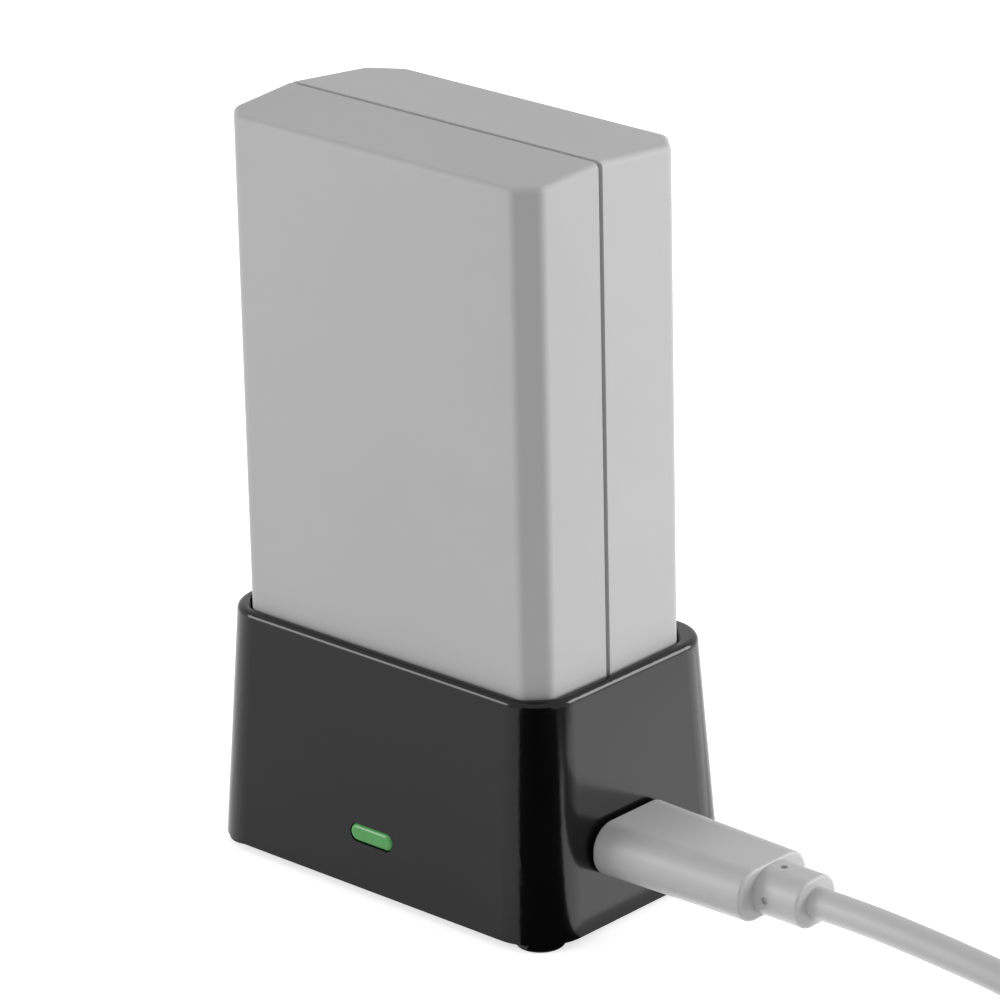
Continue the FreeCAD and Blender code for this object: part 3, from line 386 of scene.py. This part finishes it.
def coil_points():
    """Lower layer wound inwards, a rise over half a turn, then the upper layer wound outwards."""
    step = 2 * math.pi / POINTS_PER_TURN
    pitch = CORD_DIAMETER / POINTS_PER_TURN
    inwards = int(COIL_TURNS * POINTS_PER_TURN)
    rise = POINTS_PER_TURN // 2
    outwards = inwards - int(COIL_TURN_LEFT_OUT * POINTS_PER_TURN)
    angle = math.radians(COIL_ENTRY)
    skipped = round((angle - math.radians(COIL_START)) / step)
    points = []
    for i in range(skipped, inwards):
        radius = COIL_INNER_TURN + (inwards - i) * pitch
        points.append(coil_point(angle, radius, COIL_LOW_Z))
        angle += step
    for i in range(rise):
        share = (1 - math.cos(math.pi * i / rise)) / 2
        z = COIL_LOW_Z + share * (COIL_HIGH_Z - COIL_LOW_Z)
        points.append(coil_point(angle, COIL_INNER_TURN, z))
        angle += step
    for i in range(outwards + 1):
        points.append(coil_point(angle, COIL_INNER_TURN + i * pitch, COIL_HIGH_Z))
        angle += step
    return points


def make_cord(finish):
    points = CORD_ROUTE + coil_points() + TAIL_ROUTE
    curve = bpy.data.curves.new("cord_line", "CURVE")
    curve.dimensions = "3D"
    curve.bevel_depth = CORD_DIAMETER / 2
    curve.bevel_resolution = 6
    curve.resolution_u = 8
    curve.use_fill_caps = True
    spline = curve.splines.new("NURBS")
    spline.points.add(len(points) - 1)
    for slot, point in zip(spline.points, points):
        slot.co = (*point, 1.0)
    spline.order_u = 3
    spline.use_endpoint_u = True
    curve.materials.append(finish)
    cord = add_object("cable_cord", curve)
    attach(cord, "root")
    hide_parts("cord", "cord_coil", "cord_tail")
    return cord


def strap_outline():
    """Line once round the bundle in a radial plane, as distance from the coil's middle and height."""
    outer_turn = COIL_INNER_TURN + COIL_TURNS * CORD_DIAMETER
    # The corners' centres lie this far inside the centre lines of the outermost turns
    inside = STRAP_CORNER - CORD_DIAMETER / 2 - STRAP_SLACK
    low, high = COIL_LOW_Z + inside, COIL_HIGH_Z - inside
    near, far = COIL_INNER_TURN + inside, outer_turn - inside
    line = []
    for quarter, (r, z) in enumerate([(far, high), (near, high), (near, low), (far, low)]):
        for i in range(STRAP_CORNER_STEPS + 1):
            turn = math.pi / 2 * (quarter + i / STRAP_CORNER_STEPS)
            outward = Vector((math.cos(turn), math.sin(turn)))
            line.append(Vector((r, z)) + STRAP_CORNER * outward)
    return line


def strap_line():
    """The strap's path: once round the bundle, then over its own start and part of the way along."""
    loop = strap_outline()
    lap = []
    for i in range(STRAP_CORNER_STEPS + 1):
        turn = math.pi / 2 * i / STRAP_CORNER_STEPS
        lap.append(loop[i] + STRAP_THICKNESS * Vector((math.cos(turn), math.sin(turn))))
    return loop + lap + [lap[-1] - Vector((STRAP_LAP, 0.0))]


def make_strap(finish):
    """Strap that goes once round the bundle and laps over itself on top."""
    line = strap_line()
    half = STRAP_WIDTH / 2
    profile = [(0, -half), (0, half), (STRAP_THICKNESS, half), (STRAP_THICKNESS, -half)]
    mesh = bmesh.new()
    rows = []
    for index, point in enumerate(line):
        before, after = line[max(index - 1, 0)], line[min(index + 1, len(line) - 1)]
        ahead = (after - before).normalized()
        outward = Vector((ahead.y, -ahead.x))
        section = []
        for lift, side in profile:
            spot = point + outward * lift
            place = (COIL_CENTRE[0] - spot.x, COIL_CENTRE[1] + side, spot.y)
            section.append(mesh.verts.new(place))
        rows.append(section)
    for section, following in zip(rows, rows[1:]):
        for k in range(len(profile)):
            mesh.faces.new((section[k - 1], section[k], following[k], following[k - 1]))
    mesh.faces.new(rows[0])
    mesh.faces.new(reversed(rows[-1]))
    bmesh.ops.recalc_face_normals(mesh, faces=mesh.faces)
    data = bpy.data.meshes.new("coil_strap")
    mesh.to_mesh(data)
    mesh.free()
    data.materials.append(finish)
    strap = add_object("coil_strap", data)
    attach(strap, "root")
    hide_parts("coil_tie")
    return strap


# Camera and lights

def direction(azimuth, elevation):
    """Unit vector from the object towards a place round it; azimuth 0 is in front, 90 to the right."""
    a, e = math.radians(azimuth), math.radians(elevation)
    return Vector((math.sin(a) * math.cos(e), -math.cos(a) * math.cos(e), math.sin(e)))


def make_camera():
    back = direction(CAMERA_AZIMUTH, CAMERA_ELEVATION)
    level = Vector((0, 0, 1)).cross(back).normalized()
    upright = back.cross(level)
    roll = math.radians(CAMERA_ROLL)
    right = level * math.cos(roll) + upright * math.sin(roll)
    up = upright * math.cos(roll) - level * math.sin(roll)
    data = bpy.data.cameras.new("camera")
    data.lens = CAMERA_LENS
    data.sensor_width = CAMERA_SENSOR
    data.clip_start = CAMERA_CLIP
    camera = add_object("camera", data)
    spot = Vector(CAMERA_AIM) + back * CAMERA_DISTANCE
    turn = Matrix((right, up, back)).transposed().to_4x4()
    camera.matrix_world = Matrix.Translation(spot) @ turn
    bpy.context.scene.camera = camera


def aim(light, spot, azimuth, elevation, distance):
    """Puts a light that way and that far from a spot, turned towards it."""
    away = direction(azimuth, elevation)
    light.location = Vector(spot) + away * distance
    light.rotation_mode = "QUATERNION"
    light.rotation_quaternion = (-away).to_track_quat("-Z", "Y")


def softbox(name, azimuth, side, power):
    """Square soft light aimed at the middle of the object."""
    data = bpy.data.lights.new(name, "AREA")
    data.shape = "SQUARE"
    data.size = side
    data.energy = power
    aim(add_object(name, data), CAMERA_AIM, azimuth, LAMP_ELEVATION, LAMP_DISTANCE)


def kicker(name):
    """Narrow soft light on the plug and the start of the cord."""
    data = bpy.data.lights.new(name, "SPOT")
    data.energy = KICKER_POWER
    data.spot_size = math.radians(KICKER_CONE)
    data.spot_blend = KICKER_BLEND
    data.shadow_soft_size = KICKER_RADIUS
    light = add_object(name, data)
    light.visible_glossy = False
    aim(light, KICKER_AIM, KICKER_AZIMUTH, KICKER_ELEVATION, KICKER_DISTANCE)


# World, floor and cards

def seen_directly(nodes, links):
    """1 for camera, mirror and glass rays, 0 for the rays that light the object."""
    path = nodes.new("ShaderNodeLightPath")
    total = path.outputs["Is Camera Ray"]
    for kind in ("Is Glossy Ray", "Is Transmission Ray"):
        node = nodes.new("ShaderNodeMath")
        node.operation = "MAXIMUM"
        links.new(total, node.inputs[0])
        links.new(path.outputs[kind], node.inputs[1])
        total = node.outputs["Value"]
    return total


def strength_by_ray(nodes, links, lighting, seen):
    """One strength for the rays that light the object, and another where the surface is seen."""
    level = nodes.new("ShaderNodeMapRange")
    level.inputs["To Min"].default_value = lighting
    level.inputs["To Max"].default_value = seen
    links.new(seen_directly(nodes, links), level.inputs["Value"])
    return level.outputs["Result"]


def make_world():
    world = bpy.data.worlds.new("studio")
    bpy.context.scene.world = world
    world.use_nodes = True
    nodes, links = world.node_tree.nodes, world.node_tree.links
    background = nodes["Background"]
    background.inputs["Color"].default_value = WHITE
    strength = strength_by_ray(nodes, links, lighting=WORLD_LIGHT, seen=1.0)
    links.new(strength, background.inputs["Strength"])


def rectangle(low, high, z):
    """Corners of a level rectangle, in order round it."""
    plan = [(low[0], low[1]), (high[0], low[1]), (high[0], high[1]), (low[0], high[1])]
    return [(x, y, z) for x, y in plan]


def stage_sheet(name, corners, material):
    mesh = bpy.data.meshes.new(name)
    mesh.from_pydata(corners, [], [(0, 1, 2, 3)])
    mesh.materials.append(material)
    sheet = add_object(name, mesh)
    return sheet


def make_floor():
    """Pale floor that shows white and keeps the object's shadow."""
    material, nodes, links = new_material("floor")
    shader = nodes["Principled BSDF"]
    shader.inputs["Base Color"].default_value = FLOOR_COLOUR
    shader.inputs["Roughness"].default_value = 1.0
    shader.inputs["Specular IOR Level"].default_value = 0.0
    shader.inputs["Emission Color"].default_value = WHITE
    strength = strength_by_ray(nodes, links, lighting=0.0, seen=FLOOR_WHITE)
    links.new(strength, shader.inputs["Emission Strength"])
    corners = rectangle((-FLOOR_HALF, -FLOOR_HALF), (FLOOR_HALF, FLOOR_HALF), 0.0)
    stage_sheet("floor", corners, material)


def reflector(name, corners, strength):
    """Card that only glossy surfaces see: white to lift a reflection, black to darken one."""
    material, nodes, links = new_material(name)
    glow = nodes.new("ShaderNodeEmission")
    glow.inputs["Strength"].default_value = strength
    links.new(glow.outputs["Emission"], nodes["Material Output"].inputs["Surface"])
    card = stage_sheet(name, corners, material)
    card.visible_camera = False
    card.visible_diffuse = False
    card.visible_shadow = False
    card.visible_transmission = False


def black_flag(name):
    """Black card that stands on the floor across the camera's side of the object."""
    middle = direction(FLAG_AZIMUTH, 0) * FLAG_DISTANCE
    side = direction(FLAG_AZIMUTH + 90, 0) * FLAG_HALF_WIDTH
    top = Vector((0, 0, FLAG_HEIGHT))
    corners = [middle - side, middle + side, middle + side + top, middle - side + top]
    reflector(name, corners, BLACK_CARD)


finishes = dress_nodes()
cord = make_cord(finishes["cord_jacket"])
strap = make_strap(finishes["tie_fabric"])
make_camera()
softbox("light_left", azimuth=-44, side=0.25, power=1.6)
softbox("light_right", azimuth=136, side=0.31, power=3.05)
kicker("light_plug")
reflector("white_card", rectangle(WHITE_CARD_FROM, WHITE_CARD_TO, CARD_HEIGHT), BRIGHT_CARD)
reflector("black_card", rectangle(BLACK_CARD_FROM, BLACK_CARD_TO, CARD_HEIGHT), BLACK_CARD)
black_flag("black_flag")
make_world()
make_floor()
bpy.context.scene.view_settings.view_transform = "Standard"
